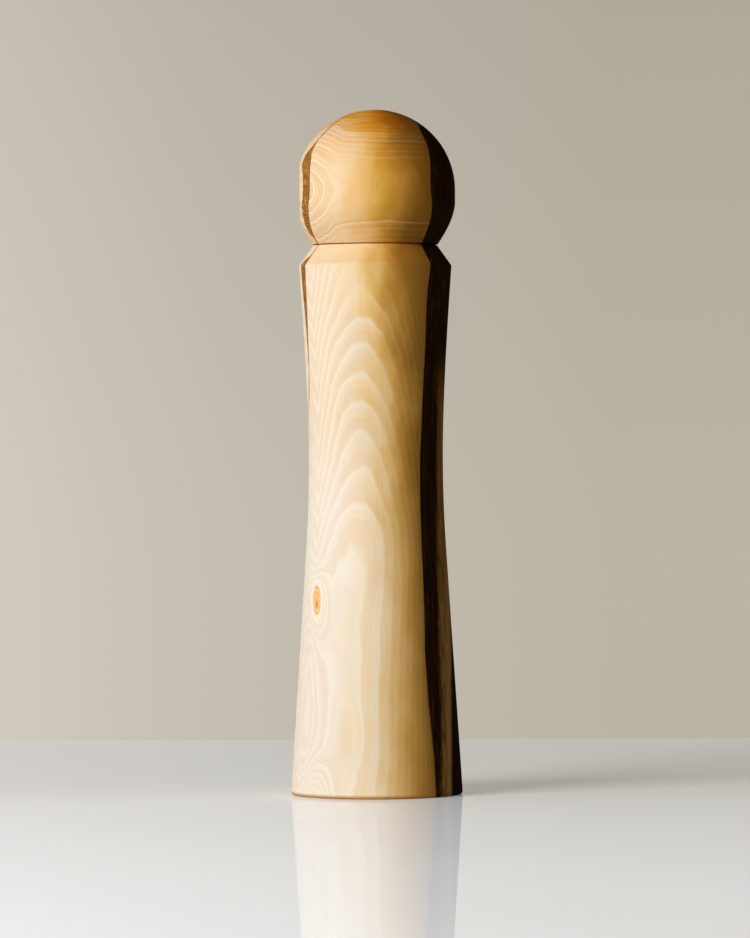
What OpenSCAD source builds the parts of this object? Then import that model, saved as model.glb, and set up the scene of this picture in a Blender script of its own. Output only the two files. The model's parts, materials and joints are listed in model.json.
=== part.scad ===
// Pepper mill: a turned wooden body and ball head over a ceramic burr mechanism.
// A hexagonal shaft in the pepper chamber drives the inner burr, and a wheel under
// the foot raises and lowers it. Millimetres, +Z up, origin at the centre of the foot.

/* [Body] */
// Diameter of the foot
foot_d = 62.8; // [60:0.1:72]
// Rounding of the foot's lower edge
foot_edge_r = 1.2; // [0.4:0.1:2]
// Height where the straight taper of the foot ends
taper_z = 90; // [75:1:100]
// Diameter of the waist
waist_d = 49; // [44:0.5:54]
// Height of the waist
waist_z = 123; // [112:1:134]
// Height where the tangents of the upper flare meet
flare_z = 147; // [140:1:160]
// Diameter of the shoulder
shoulder_d = 55.8; // [52:0.2:60]
// Height of the shoulder
shoulder_z = 193.1; // [188:0.1:196]
// Rounding of the shoulder's corner
shoulder_edge_r = 0.8; // [0.3:0.1:2]
// Height of the body
body_h = 200.5; // [198:0.5:212]
// Diameter of the body's upper face
body_top_d = 45.2; // [42:0.2:48]
// Diameter of the pepper chamber
chamber_d = 26; // [22:0.5:30]
// Diameter of the mouth that takes the head's spigot
mouth_d = 33; // [30:0.5:36]
// Depth of the mouth
mouth_depth = 11; // [9:0.5:14]

/* [Head] */
// Diameter of the ball
head_d = 58.6; // [54:0.2:64]
// Height of the head above the seam
head_h = 49.2; // [46:0.2:56]
// Diameter of the head's lower face
head_bottom_d = 45.8; // [43:0.2:49]
// Height of the straight belt under the ball's equator
head_belt = 4.2; // [1:0.2:8]
// Height above the seam where the tangents of the head's lower curve meet
head_tuck_z = 9.4; // [7:0.2:12]
// Distance from the axis to the small flat that the blank left on the ball
head_flat = 27.4; // [26.5:0.1:32]
// Gap of the seam between body and head
seam_gap = 0.3; // [0.2:0.1:1]
// Length of the head's spigot below the seam
spigot_l = 10.3; // [8:0.1:13]
// Clearance around the spigot
spigot_fit = 0.3; // [0.2:0.05:0.6]
// Diameter of the head stopper
stopper_d = 22.7; // [18:0.1:26]
// Length of the head stopper inside the head
stopper_l = 30; // [24:1:36]
// Thickness of the stopper's flange
stopper_flange_t = 1.5; // [1:0.1:3]
// How far the stopper's flange reaches past the plug
stopper_flange_w = 1.1; // [0.6:0.1:1.5]
// Number of relief grooves along the stopper
stopper_grooves = 8; // [4:1:12]
// Thickness of the end wall above the stopper's socket
stopper_end = 3; // [2:0.5:6]

/* [Drive] */
// Width of the shaft across its flats
shaft_af = 7; // [6:0.1:8]
// Clearance between the shaft and each flat of a socket
shaft_fit = 0.15; // [0.1:0.05:0.3]
// Gap between the shaft's upper end and the end of its socket
shaft_end_gap = 1; // [0.5:0.5:4]
// Depth of the shaft in the inner burr and the auger
shaft_grip = 13.7; // [11:0.1:14.5]
// Wall of the shaft bush
bush_wall = 1.4; // [1:0.1:2]
// Thickness of the bush's flange
bush_flange_t = 1; // [0.8:0.1:2]
// Thickness of a circlip
clip_t = 0.8; // [0.6:0.1:1.2]
// Radial width of a circlip outside its groove
clip_w = 1.2; // [0.8:0.1:1.6]
// Depth of a circlip groove
clip_groove = 0.6; // [0.4:0.1:0.8]
// Thickness of the washer above the spring
washer_t = 1; // [0.6:0.1:1.5]
// Diameter of the spring wire
spring_wire_d = 0.9; // [0.6:0.1:1]
// Number of turns of the spring
spring_turns = 3.5; // [2.5:0.5:4]

/* [Burrs] */
// Height of the inner burr
inner_burr_h = 16.2; // [15:0.1:20]
// Height of the grinding cone from the inner burr's lower face
grind_h = 8.1; // [6:0.1:9]
// Wall of the outer burr at its throat
throat_wall = 5.4; // [4.8:0.1:6.2]
// Wall of the outer burr at its lower opening
outlet_wall = 2.7; // [2.3:0.1:3.5]
// Wall of the outer burr at its upper opening
inlet_wall = 2.1; // [1.8:0.1:3.2]
// Diameter of the inner burr's upper face
inner_top_d = 12; // [11:0.1:14]
// Radial gap between the burrs at the finest setting
grind_gap = 0.33; // [0.25:0.01:0.6]
// Height of the outer burr
outer_burr_h = 16.6; // [15:0.1:20]
// How far the inner burr hangs below the outer burr
burr_drop = 0.6; // [0.2:0.1:1.5]
// Number of grinding flutes on the inner burr
inner_flutes = 24; // [12:1:30]
// Number of grinding flutes in the outer burr
outer_flutes = 28; // [12:1:32]
// Number of feed flutes on each burr
feed_flutes = 6; // [4:1:8]
// Depth of a grinding flute
flute_depth = 0.7; // [0.4:0.1:0.9]
// Depth of a feed flute
feed_flute_depth = 1.5; // [0.8:0.1:1.8]
// Slant of the flutes
flute_slant = 18; // [8:1:25]
// Height of the auger's hub
auger_h = 3.6; // [3:0.1:5]
// Gap between the auger's blades and the outer burr's upper opening
auger_gap = 1.7; // [1.2:0.1:3]
// Number of auger blades
auger_blades = 3; // [2:1:5]

/* [Housing] */
// Depth of the recess under the foot
recess_depth = 14; // [13.5:0.1:17]
// Thickness of the housing's flange
flange_t = 4; // [3.5:0.1:5]
// How far the flange reaches past the barrel
flange_w = 5.4; // [5:0.1:6]
// Clearance around the flange
flange_fit = 0.3; // [0.2:0.05:0.6]
// Outer diameter of the barrel
barrel_d = 37.6; // [36.8:0.1:39]
// Height of the barrel with its flange
barrel_h = 39; // [38.5:0.1:44]
// Clearance around the barrel
barrel_fit = 0.3; // [0.2:0.05:0.6]
// Clearance above the barrel
barrel_end_gap = 1; // [0.5:0.1:3]
// Wall of the barrel around the outer burr
barrel_wall = 2.3; // [2.1:0.1:2.8]
// Clearance around the outer burr
pocket_fit = 0.2; // [0.1:0.05:0.3]
// Wall of the barrel at its upper rim
barrel_rim = 1.8; // [1.4:0.1:2.4]
// Thickness of the top bridge's arms
bridge_arm_t = 4; // [3:0.1:5]
// Width of the top bridge's arms
bridge_arm_w = 3; // [2:0.1:4]
// Height of the top bridge's hub
bridge_hub_h = 6; // [5:0.1:6.5]
// Wall of the top bridge's hub
bridge_hub_wall = 1.6; // [1.2:0.1:2.2]
// Thickness of the burr retainer
retainer_t = 1.2; // [0.8:0.1:1.6]
// Radius of the keys that stop the outer burr from turning
key_r = 1; // [0.6:0.1:1.2]
// Distance from the barrel's face to the centres of the screws
screw_offset = 2.8; // [2.4:0.1:3]
// Diameter of a screw's head
screw_head_d = 4.2; // [3.4:0.1:4.4]
// Height of a screw's head
screw_head_h = 1.6; // [1:0.1:1.8]
// Diameter of a screw's shank
screw_d = 2.4; // [1.8:0.1:2.6]
// Length of a housing screw's shank
housing_screw_l = 14; // [10:0.5:18]
// Length of a bridge screw's shank
bridge_screw_l = 6; // [5:0.1:6.3]

/* [Adjuster] */
// How far the adjuster lowers the inner burr
travel = 1.5; // [0.5:0.1:1.6]
// Clearance between parts that run on each other
run_gap = 0.3; // [0.2:0.05:0.4]
// Thickness of the lower bridge
bridge_t = 3; // [2.5:0.1:3.5]
// Width of the lower bridge's ring
bridge_ring_w = 4; // [3:0.1:5]
// Width of the lower bridge's arms
lower_arm_w = 3.4; // [2:0.1:5]
// Diameter of the adjuster wheel
wheel_d = 35; // [33:0.5:37]
// Thickness of the adjuster wheel
wheel_t = 5; // [4:0.1:5.8]
// Width of the wheel's rim
wheel_rim_w = 3; // [2.5:0.1:4]
// Number of finger notches around the wheel
wheel_notches = 24; // [12:1:30]
// Radius of a finger notch
notch_r = 0.9; // [0.5:0.1:1.1]
// Diameter of the wheel's hub
wheel_hub_d = 13; // [11:0.1:15]
// Width of the wheel's spokes
spoke_w = 3; // [2:0.1:5]
// Diameter of the wheel's stem
stem_d = 9; // [8.6:0.1:9.4]
// Diameter of the brass insert
nut_d = 6.4; // [5.6:0.1:6.6]
// Height of the brass insert
nut_h = 6; // [4:0.1:8]
// Diameter of the lifting spindle
spindle_d = 4; // [3:0.1:4.4]
// Clearance of the spindle in the insert
thread_fit = 0.1; // [0.05:0.01:0.2]
// Thickness of the spindle's crosshead
crosshead_t = 1.4; // [1.2:0.1:2]
// Width of the spindle's crosshead
crosshead_w = 3.6; // [3:0.1:4.4]
// Diameter of the thrust ball
ball_d = 3; // [2.4:0.1:3.4]
// How deep the ball sits in the crosshead and in the burr
ball_seat = 1; // [0.8:0.1:1.1]
// Wall of the guide collar on the lower bridge
collar_wall = 1.4; // [1:0.1:2]

/* [Hidden] */
$fn = 96;
eps = 0.01;                 // overlap of a cut past a face
press = 0.05;               // gap between pieces that are pressed or screwed together
curve_steps = 16;           // straight pieces that a curve is drawn with
arm_angles = [90, 210, 330];
screw_angles = [30, 150, 270];
key_angles = [60, 180, 300];

// Adjuster, from the flange downwards and then up through the spindle
flange_z = recess_depth - flange_t;
lower_bridge_z = flange_z - bridge_t;
wheel_top_z = lower_bridge_z - run_gap;
wheel_z = wheel_top_z - wheel_t;
wheel_clip_z = flange_z + run_gap;
stem_lip = 0.6;
stem_top_z = wheel_clip_z + clip_t + stem_lip;
crosshead_z = stem_top_z + travel + run_gap;
crosshead_top_z = crosshead_z + crosshead_t;
spindle_z = wheel_z + travel + run_gap;
ball_z = crosshead_top_z + ball_d / 2 - ball_seat;
stem_bore_d = stem_d + run_gap;
wheel_clip_d = stem_d + 2 * clip_w;
collar_d = wheel_clip_d + 2 * run_gap + 2 * collar_wall;
bridge_ring_d = barrel_d - 2;
ear_d = screw_head_d + 0.8;

// Burrs
pocket_d = barrel_d - 2 * barrel_wall;
outer_burr_d = pocket_d - 2 * pocket_fit;
throat_d = outer_burr_d - 2 * throat_wall;
outlet_d = outer_burr_d - 2 * outlet_wall;
inlet_d = outer_burr_d - 2 * inlet_wall;
auger_d = inlet_d - 2 * auger_gap;
inner_burr_z = ball_z + ball_d / 2 - ball_seat;
inner_top_z = inner_burr_z + inner_burr_h;
throat_z = inner_burr_z + grind_h;
outer_burr_z = inner_burr_z + burr_drop;
outer_top_z = outer_burr_z + outer_burr_h;
grind_slope = (outlet_d - throat_d) / 2 / (throat_z - outer_burr_z);
feed_slope = (inlet_d - throat_d) / 2 / (outer_top_z - throat_z);
inner_throat_r = throat_d / 2 - grind_gap;
inner_base_r = inner_throat_r + grind_slope * grind_h;
inner_feed_slope = (inner_throat_r - inner_top_d / 2) / (inner_top_z - throat_z);
dish_depth = 2.5;           // hollow under the inner burr
dish_wall = 5;
boss_d = ball_d + 4;
auger_top_z = inner_top_z + auger_h;

// Housing
barrel_top_z = flange_z + barrel_h;
ledge_d = inlet_d + 0.8;
ledge_t = 2;
bridge_arm_z = barrel_top_z - bridge_arm_t;
hub_z = barrel_top_z - bridge_hub_h;
shaft_corner_d = shaft_af / cos(30);
socket_af = shaft_af + 2 * shaft_fit;
bush_bore_d = shaft_corner_d + 2 * shaft_fit;
bush_d = bush_bore_d + 2 * bush_wall;
hub_d = bush_d + 2 * bridge_hub_wall;
retainer_z = outer_burr_z - retainer_t;
retainer_lip = 0.6;         // how deep the retainer sits in its groove
flange_d = barrel_d + 2 * flange_w;
recess_d = flange_d + 2 * flange_fit;
screw_circle_r = barrel_d / 2 + screw_offset;
bridge_drop = 0.3;          // step between the arms of a bridge and its rim
bore_d = barrel_d + 2 * barrel_fit;
bore_top_z = barrel_top_z + barrel_end_gap;
pilot_l = housing_screw_l - flange_t + 1;

// Shaft, spring and clips
shaft_z = auger_top_z - shaft_grip;
shaft_groove_d = shaft_af - 2 * clip_groove;
lower_clip_z = hub_z - run_gap - clip_t;
upper_clip_z = barrel_top_z + bush_flange_t + run_gap;
shaft_clip_d = shaft_corner_d + 2 * clip_w;
washer_z = lower_clip_z - washer_t;
spring_r = shaft_corner_d / 2 + shaft_fit + 0.5 + spring_wire_d / 2;
washer_d = 2 * spring_r + spring_wire_d + 1;

// Head
head_z = body_h + seam_gap;
head_top_z = head_z + head_h;
ball_centre_z = head_top_z - head_d / 2;
spigot_z = head_z - spigot_l;
spigot_d = mouth_d - 2 * spigot_fit;
mouth_z = body_h - mouth_depth;
stopper_top_z = spigot_z + stopper_l;
stopper_bore_d = stopper_d + 2 * press;
socket_top_z = stopper_top_z - stopper_end;
shaft_top_z = socket_top_z - shaft_end_gap;
stopper_clip_z = spigot_z + 3;
stopper_clip_d = shaft_corner_d + 2 * shaft_fit + 2 * clip_w;

// Points of a quadratic curve from a to c whose tangents meet at b
function curve(a, b, c) =
    [for (i = [0 : curve_steps]) let (t = i / curve_steps)
        (1 - t) * (1 - t) * a + 2 * t * (1 - t) * b + t * t * c];

// Points of an arc in the outline plane
function arc(centre, r, from, to) =
    [for (i = [0 : curve_steps]) let (a = from + (to - from) * i / curve_steps)
        centre + r * [cos(a), sin(a)]];

// Radius of the foot's straight taper at height z
function taper_r(z) =
    foot_d / 2 - (foot_d - waist_d) / 2 * z / ((taper_z + waist_z) / 2);

body_outline = concat(
    [[0, 0]],
    arc([taper_r(foot_edge_r) - foot_edge_r, foot_edge_r], foot_edge_r, -90, 0),
    curve([taper_r(taper_z), taper_z], [waist_d / 2, (taper_z + waist_z) / 2], [waist_d / 2, waist_z]),
    curve([waist_d / 2, waist_z], [waist_d / 2, flare_z],
          [shoulder_d / 2, shoulder_z - shoulder_edge_r]),
    arc([shoulder_d / 2 - shoulder_edge_r, shoulder_z - shoulder_edge_r], shoulder_edge_r, 6, 36),
    [[body_top_d / 2, body_h], [0, body_h]]);

head_outline = concat(
    [[0, head_z]],
    curve([head_bottom_d / 2, head_z], [head_d / 2, head_z + head_tuck_z],
          [head_d / 2, ball_centre_z - head_belt]),
    arc([0, ball_centre_z], head_d / 2, 0, 90));

barrel_outline = [
    [pocket_d / 2, flange_z], [flange_d / 2, flange_z], [flange_d / 2, recess_depth],
    [barrel_d / 2, recess_depth], [barrel_d / 2, barrel_top_z],
    [barrel_d / 2 - barrel_rim, barrel_top_z], [barrel_d / 2 - barrel_rim, bridge_arm_z - 1],
    [ledge_d / 2, outer_top_z + ledge_t], [ledge_d / 2, outer_top_z], [pocket_d / 2, outer_top_z],
    [pocket_d / 2, outer_burr_z], [pocket_d / 2 + retainer_lip + press, outer_burr_z],
    [pocket_d / 2 + retainer_lip + press, retainer_z - press], [pocket_d / 2, retainer_z - press]];

// Hexagonal prism, a shaft or its socket
module hex_prism(af, z0, z1)
    translate([0, 0, z0])
        cylinder(d = af / cos(30), h = z1 - z0, $fn = 6);

module disc(d, z0, z1)
    translate([0, 0, z0])
        cylinder(d = d, h = z1 - z0);

module ring(outer_d, inner_d, z0, z1)
    difference() {
        disc(outer_d, z0, z1);
        disc(inner_d, z0 - eps, z1 + eps);
    }

// Circlip with its opening towards +X
module circlip(outer_d, inner_d, z0, t)
    difference() {
        ring(outer_d, inner_d, z0, z0 + t);
        translate([0, -inner_d / 5, z0 - eps])
            cube([outer_d, inner_d / 2.5, t + 2 * eps]);
    }

module around(angles)
    for (a = angles)
        rotate(a) children();

// Cross-headed screw that points up, with the underside of its head at the origin
module screw(shank_l) {
    slot_w = screw_head_d / 6;
    slot_l = screw_head_d * 0.6;
    tip_l = screw_d;
    difference() {
        translate([0, 0, -screw_head_h])
            cylinder(d1 = screw_head_d - 0.8, d2 = screw_head_d, h = screw_head_h);
        for (a = [0, 90])
            rotate(a) translate([-slot_l / 2, -slot_w / 2, -screw_head_h - eps])
                cube([slot_l, slot_w, screw_head_h / 2]);
    }
    cylinder(d = screw_d, h = shank_l - tip_l);
    translate([0, 0, shank_l - tip_l])
        cylinder(d1 = screw_d, d2 = 0.6, h = tip_l);
}

// V-shaped cutters along a cone: r_mid and z_mid are on the cone's face, slope is the
// change of radius with height, and depth is negative for a cut into an inner face
module flutes(count, r_mid, z_mid, slope, run, depth, width, slant)
    around([for (i = [0 : count - 1]) i * 360 / count])
        translate([r_mid, 0, z_mid])
            rotate([0, atan(slope), 0])
                rotate([slant, 0, 0])
                    translate([0, 0, -run / 2])
                        linear_extrude(height = run)
                            polygon([[-depth, 0], [abs(depth) / depth, -width / 2 * (1 + 1 / abs(depth))],
                                     [abs(depth) / depth, width / 2 * (1 + 1 / abs(depth))]]);

module body() color("burlywood") difference() {
    rotate_extrude() polygon(body_outline);
    disc(recess_d, -eps, recess_depth);
    disc(bore_d, -eps, bore_top_z);
    disc(chamber_d, -eps, body_h + eps);
    disc(mouth_d, mouth_z, body_h + eps);
    around(screw_angles)
        translate([screw_circle_r, 0, recess_depth - eps])
            cylinder(d = screw_d + 2 * press, h = pilot_l);
}

module head() color("burlywood") difference() {
    union() {
        rotate_extrude() polygon(head_outline);
        disc(spigot_d, spigot_z, head_z + eps);
    }
    disc(stopper_bore_d, spigot_z - eps, stopper_top_z + 0.5);
    translate([-head_flat - head_d, -head_d, head_z])
        cube([head_d, 2 * head_d, head_h]);
}

module head_stopper() color("dimgray") difference() {
    union() {
        disc(stopper_d, spigot_z, stopper_top_z);
        disc(stopper_d + 2 * stopper_flange_w, spigot_z - stopper_flange_t, spigot_z);
    }
    hex_prism(socket_af, spigot_z - stopper_flange_t - eps, socket_top_z);
    disc(stopper_clip_d + 2 * press, stopper_clip_z - press, stopper_clip_z + clip_t + press);
    around([for (i = [0 : stopper_grooves - 1]) (i + 0.5) * 360 / stopper_grooves])
        translate([stopper_d / 2 + 0.6, 0, spigot_z + 2])
            cylinder(r = 1.6, h = stopper_l);
}

module stopper_clip() color("silver")
    circlip(stopper_clip_d, shaft_corner_d + 2 * shaft_fit, stopper_clip_z, clip_t);

module drive_shaft() color("lightgray") difference() {
    hex_prism(shaft_af, shaft_z, shaft_top_z);
    for (z = [lower_clip_z, upper_clip_z])
        ring(shaft_corner_d + 1, shaft_groove_d, z - press, z + clip_t + press);
}

module shaft_bush() color("ivory") difference() {
    union() {
        disc(bush_d, hub_z, barrel_top_z + eps);
        disc(hub_d, barrel_top_z, barrel_top_z + bush_flange_t);
    }
    disc(bush_bore_d, hub_z - eps, barrel_top_z + bush_flange_t + eps);
}

module shaft_clips() color("silver")
    for (z = [lower_clip_z, upper_clip_z])
        circlip(shaft_clip_d, shaft_groove_d + 2 * press, z, clip_t);

module spring_washer() color("silver")
    ring(washer_d, shaft_corner_d + 2 * shaft_fit, washer_z, lower_clip_z);

// Round wire swept along a helix between the auger and the washer
module burr_spring() color("silver") {
    sides = 8;
    steps = round(spring_turns * 20);
    wire_r = spring_wire_d / 2;
    z0 = auger_top_z + wire_r + press;
    rise = washer_z - wire_r - press - z0;
    rings = [for (i = [0 : steps], k = [0 : sides - 1])
        let (a = spring_turns * 360 * i / steps, b = 360 * k / sides, r = spring_r + wire_r * cos(b))
            [r * cos(a), r * sin(a), z0 + rise * i / steps + wire_r * sin(b)]];
    walls = [for (i = [0 : steps - 1], k = [0 : sides - 1]) let (n = (k + 1) % sides)
        [i * sides + n, (i + 1) * sides + n, (i + 1) * sides + k, i * sides + k]];
    ends = [[for (k = [0 : sides - 1]) sides - 1 - k], [for (k = [0 : sides - 1]) steps * sides + k]];
    polyhedron(points = rings, faces = concat(walls, ends));
}

module feed_auger() color("dimgray") {
    blade_t = 1.4;
    blade_h = 4.4;
    pitch = 35;
    difference() {
        union() {
            disc(inner_top_d, inner_top_z, auger_top_z);
            intersection() {
                around([for (i = [0 : auger_blades - 1]) i * 360 / auger_blades])
                    translate([0, 0, inner_top_z + auger_h / 2 + 0.9])
                        rotate([pitch, 0, 0])
                            translate([0, -blade_t / 2, -blade_h / 2])
                                cube([auger_d, blade_t, blade_h]);
                ring(auger_d, inner_top_d - 0.6, inner_top_z + 0.3, auger_top_z + 2);
            }
        }
        hex_prism(socket_af, inner_top_z - eps, auger_top_z + eps);
    }
}

module inner_burr() color("whitesmoke") difference() {
    rotate_extrude() polygon([
        [0, inner_burr_z], [inner_base_r, inner_burr_z], [inner_throat_r, throat_z],
        [inner_top_d / 2, inner_top_z], [0, inner_top_z]]);
    ring(2 * inner_base_r - 2 * dish_wall, boss_d, inner_burr_z - eps, inner_burr_z + dish_depth);
    translate([0, 0, ball_z])
        sphere(d = ball_d + 2 * thread_fit);
    hex_prism(socket_af, shaft_z - 0.5, inner_top_z + eps);
    flutes(inner_flutes, inner_throat_r + grind_slope * grind_h / 2, inner_burr_z + grind_h / 2,
           -grind_slope, 2 * grind_h, flute_depth, 1.4, flute_slant);
    flutes(feed_flutes, (inner_throat_r + inner_top_d / 2) / 2, (throat_z + inner_top_z) / 2,
           -inner_feed_slope, 1.6 * (inner_top_z - throat_z), feed_flute_depth, 3, flute_slant);
}

module outer_burr() color("whitesmoke") difference() {
    rotate_extrude() polygon([
        [outlet_d / 2, outer_burr_z], [outer_burr_d / 2, outer_burr_z],
        [outer_burr_d / 2, outer_top_z], [inlet_d / 2, outer_top_z], [throat_d / 2, throat_z]]);
    around(key_angles)
        translate([pocket_d / 2, 0, outer_burr_z - eps])
            cylinder(r = key_r + pocket_fit, h = outer_burr_h + 2 * eps);
    flutes(outer_flutes, throat_d / 2 + grind_slope * grind_h / 2, inner_burr_z + grind_h / 2,
           -grind_slope, grind_h + 1.6, -flute_depth, 1.4, -flute_slant);
    flutes(feed_flutes, (throat_d + inlet_d) / 4, (throat_z + outer_top_z) / 2,
           feed_slope, 1.5 * (outer_top_z - throat_z), -feed_flute_depth, 3, -flute_slant);
}

module burr_retainer() color("silver")
    circlip(pocket_d + 2 * retainer_lip, outlet_d + 1.4, retainer_z, retainer_t);

module mechanism_housing() color("dimgray") {
    difference() {
        rotate_extrude() polygon(barrel_outline);
        around(screw_angles)
            translate([screw_circle_r, 0, flange_z - eps])
                cylinder(d = screw_d + 2 * press, h = flange_t + 2 * eps);
        around(arm_angles)
            translate([screw_circle_r, 0, flange_z - eps])
                cylinder(d = screw_d + 2 * press, h = bridge_screw_l - bridge_t + 0.3);
    }
    around(key_angles)
        translate([pocket_d / 2, 0, outer_burr_z + key_r / 2])
            cylinder(r = key_r, h = outer_burr_h - key_r / 2 + ledge_t / 2);
    difference() {
        union() {
            disc(hub_d, hub_z, barrel_top_z);
            around(arm_angles)
                translate([0, -bridge_arm_w / 2, bridge_arm_z])
                    cube([(barrel_d - barrel_rim) / 2, bridge_arm_w, bridge_arm_t - bridge_drop]);
        }
        disc(bush_d + 2 * press, hub_z - eps, barrel_top_z + eps);
    }
}

module housing_screws() color("silver")
    around(screw_angles)
        translate([screw_circle_r, 0, flange_z])
            screw(housing_screw_l);

module lower_bridge() color("dimgray") {
    slot_w = crosshead_w + run_gap;
    difference() {
        union() {
            ring(bridge_ring_d, bridge_ring_d - 2 * bridge_ring_w, lower_bridge_z, flange_z);
            disc(collar_d, lower_bridge_z, flange_z);
            around(arm_angles) {
                translate([0, -lower_arm_w / 2, lower_bridge_z + bridge_drop])
                    cube([screw_circle_r, lower_arm_w, bridge_t - 2 * bridge_drop]);
                translate([screw_circle_r, 0, lower_bridge_z])
                    cylinder(d = ear_d, h = bridge_t);
            }
        }
        disc(stem_bore_d, lower_bridge_z - eps, flange_z + eps);
        around(arm_angles)
            translate([screw_circle_r, 0, lower_bridge_z - eps])
                cylinder(d = screw_d + 2 * press, h = bridge_t + 2 * eps);
    }
    difference() {
        ring(collar_d - bridge_drop, collar_d - 2 * collar_wall, flange_z - bridge_t / 2, crosshead_top_z);
        translate([-collar_d, -slot_w / 2, flange_z - bridge_t])
            cube([2 * collar_d, slot_w, crosshead_top_z]);
    }
}

module bridge_screws() color("silver")
    around(arm_angles)
        translate([screw_circle_r, 0, lower_bridge_z])
            screw(bridge_screw_l);

module adjuster_wheel() color("dimgray") difference() {
    union() {
        ring(wheel_d, wheel_d - 2 * wheel_rim_w, wheel_z, wheel_top_z);
        disc(wheel_hub_d, wheel_z, wheel_top_z);
        disc(stem_d, wheel_z, stem_top_z);
        around([0, 120, 240])
            translate([0, -spoke_w / 2, wheel_z + wheel_t / 5])
                cube([wheel_d / 2 - wheel_rim_w / 2, spoke_w, wheel_t * 3 / 5]);
    }
    disc(nut_d + 2 * press, wheel_z - eps, wheel_z + nut_h);
    disc(spindle_d + run_gap, wheel_z, stem_top_z + eps);
    ring(stem_d + 1, stem_d - 2 * clip_groove, wheel_clip_z - press, wheel_clip_z + clip_t + press);
    around([for (i = [0 : wheel_notches - 1]) (i + 0.5) * 360 / wheel_notches])
        translate([wheel_d / 2 + notch_r / 3, 0, wheel_z - eps])
            cylinder(r = notch_r, h = wheel_t + 2 * eps);
}

module adjuster_nut() color("gold")
    ring(nut_d, spindle_d + 2 * thread_fit, wheel_z, wheel_z + nut_h);

module adjuster_spindle() color("silver") difference() {
    union() {
        disc(spindle_d, spindle_z, crosshead_z + eps);
        intersection() {
            translate([-collar_d, -crosshead_w / 2, crosshead_z])
                cube([2 * collar_d, crosshead_w, crosshead_t]);
            disc(collar_d - collar_wall / 2, crosshead_z - eps, crosshead_top_z + eps);
        }
    }
    translate([0, 0, ball_z])
        sphere(d = ball_d + 2 * press);
}

module thrust_ball() color("silver")
    translate([0, 0, ball_z])
        sphere(d = ball_d);

module wheel_clip() color("silver")
    circlip(wheel_clip_d, stem_d - 2 * clip_groove + 2 * press, wheel_clip_z, clip_t);

body();
head();
head_stopper();
stopper_clip();
drive_shaft();
shaft_bush();
shaft_clips();
spring_washer();
burr_spring();
feed_auger();
inner_burr();
outer_burr();
burr_retainer();
mechanism_housing();
housing_screws();
lower_bridge();
bridge_screws();
adjuster_wheel();
adjuster_nut();
adjuster_spindle();
thrust_ball();
wheel_clip();
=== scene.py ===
import json
import math
import bmesh
import bpy
from mathutils import Matrix, Vector


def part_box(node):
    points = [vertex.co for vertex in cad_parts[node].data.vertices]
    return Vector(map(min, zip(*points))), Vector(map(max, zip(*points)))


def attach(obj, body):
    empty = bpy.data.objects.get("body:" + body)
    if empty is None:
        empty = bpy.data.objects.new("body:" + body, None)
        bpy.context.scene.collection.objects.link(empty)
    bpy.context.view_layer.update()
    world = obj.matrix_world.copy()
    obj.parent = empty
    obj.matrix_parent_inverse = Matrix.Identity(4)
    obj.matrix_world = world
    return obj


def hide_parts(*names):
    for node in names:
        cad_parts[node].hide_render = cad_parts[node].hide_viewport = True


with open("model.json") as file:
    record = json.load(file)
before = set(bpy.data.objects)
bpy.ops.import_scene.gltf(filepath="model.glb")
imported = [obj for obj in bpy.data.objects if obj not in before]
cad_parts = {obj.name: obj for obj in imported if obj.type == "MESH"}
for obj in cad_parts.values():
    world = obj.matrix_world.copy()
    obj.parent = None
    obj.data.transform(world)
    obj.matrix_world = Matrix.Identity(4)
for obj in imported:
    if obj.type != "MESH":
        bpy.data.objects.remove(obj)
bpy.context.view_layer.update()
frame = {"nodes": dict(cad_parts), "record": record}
mm = 0.001
print("frame loaded")

bodyShape = {
    "footRadius": 31.4 * mm,
    "footEdge": 1.2 * mm,
    "taperHeight": 90 * mm,
    "waistRadius": 24.5 * mm,
    "waistHeight": 123 * mm,
    "flareHeight": 147 * mm,      # where the tangents of the upper flare meet
    "shoulderRadius": 27.9 * mm,
    "shoulderHeight": 193.1 * mm,
    "shoulderEdge": 0.5 * mm,
    "topRadius": 22.6 * mm,
    "flareBend": 1.7,             # how late the flare swings out, for the rings' count
    "mouthRadius": 16.5 * mm,
    "mouthDepth": 11 * mm,
    "chamberRadius": 13 * mm,
    "boreRadius": 19.1 * mm,
    "boreTop": 50 * mm,
    "recessRadius": 24.5 * mm,
    "recessDepth": 14 * mm,
    "edge": 0.35 * mm,
    "turnSteps": 192,
}

headShape = {
    "ballRadius": 29.3 * mm,
    "bottomRadius": 22.9 * mm,
    "belt": 4.2 * mm,             # straight belt under the equator
    "tuckHeight": 9.4 * mm,       # where the tangents of the lower curve meet, above the seam
    "seamHeight": 200.8 * mm,
    "spigotRadius": 16.2 * mm,
    "spigotBottom": 190.5 * mm,
    "boreRadius": 11.4 * mm,
    "boreTop": 221 * mm,
    "flat": 27.4 * mm,            # the blank's own face, left as a small flat on the ball
    "edge": 0.3 * mm,
    "turnSteps": 192,
}


def linePoints(start, endGrainShade, steps):
    return [(start[0] + (endGrainShade[0] - start[0]) * i / steps, start[1] + (endGrainShade[1] - start[1]) * i / steps)
            for i in range(steps + 1)]


def curvePoints(start, knee, endGrainShade, steps):
    points = []
    for i in range(steps + 1):
        t = i / steps
        weights = ((1 - t) ** 2, 2 * t * (1 - t), t * t)
        points.append(tuple(sum(w * p[k] for w, p in zip(weights, (start, knee, endGrainShade))) for k in (0, 1)))
    return points


def arcPoints(height, radius, fromAngle, toAngle, steps):
    angles = [fromAngle + (toAngle - fromAngle) * i / steps for i in range(steps + 1)]
    return [(radius * math.cos(a), height + radius * math.sin(a)) for a in angles]


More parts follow.
